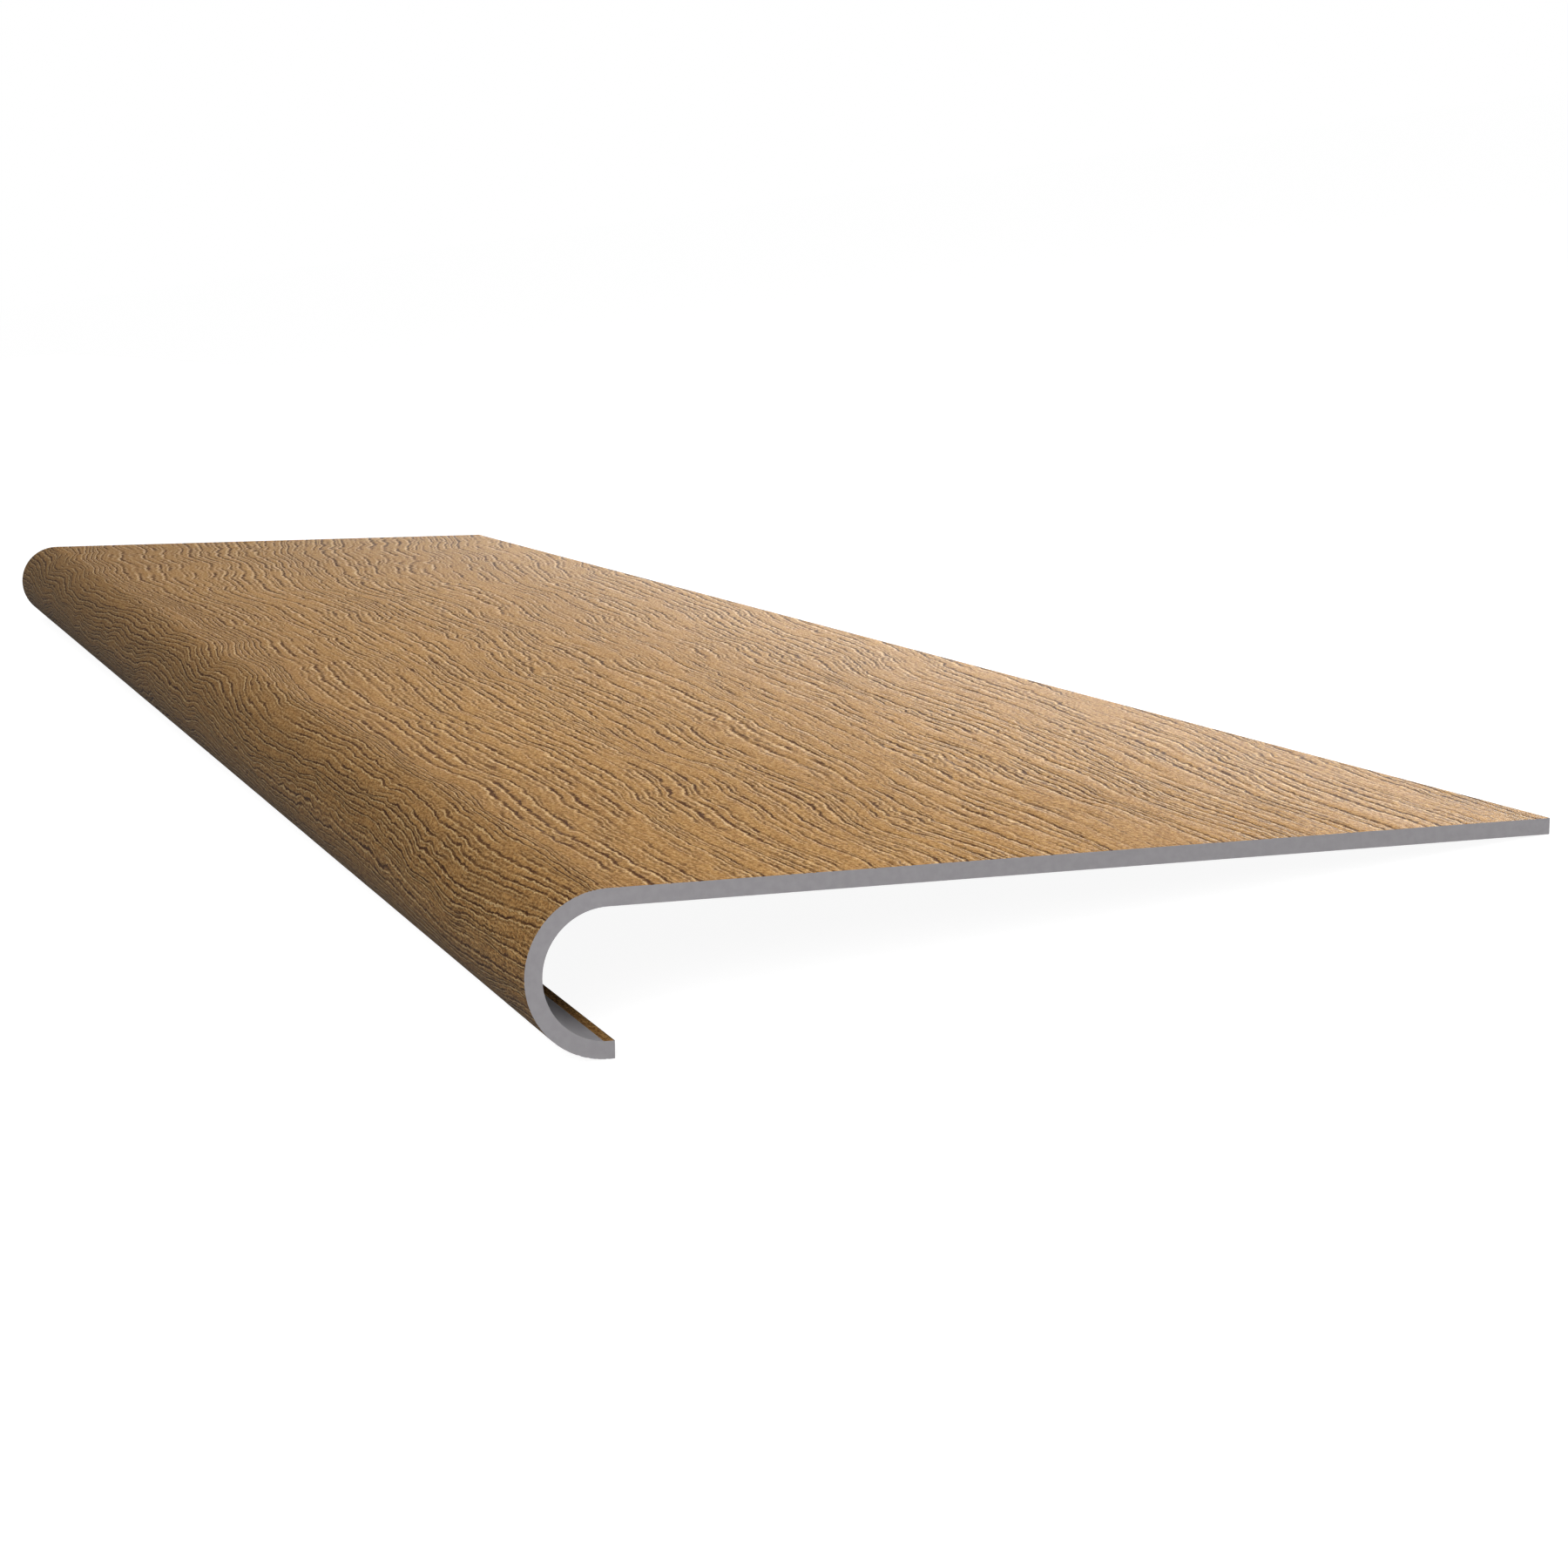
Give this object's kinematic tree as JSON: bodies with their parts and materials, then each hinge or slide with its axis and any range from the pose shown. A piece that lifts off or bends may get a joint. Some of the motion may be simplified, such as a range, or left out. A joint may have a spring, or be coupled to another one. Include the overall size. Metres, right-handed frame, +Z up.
{
  "type": "retrofit stair tread",
  "caption": "Flat wood-grained stair tread cover with a half-round nose that hooks over an old step's nosing.",
  "frame": {"origin": "on the floor under the middle of the tread, as it lies unheld on the tip of its lip and its back edge", "axes": "+X along the length, across the stair; the nose faces -Y and the back edge +Y; +Z up"},
  "size_m": [1.2192, 0.3051, 0.0444],
  "materials": {
    "tread": "satin tan wood-grain embossed cap over a grey plastic body that shows on the cut ends and inside"
  },
  "bodies": {
    "root": {"tread": "tread"}
  },
  "joints": []
}
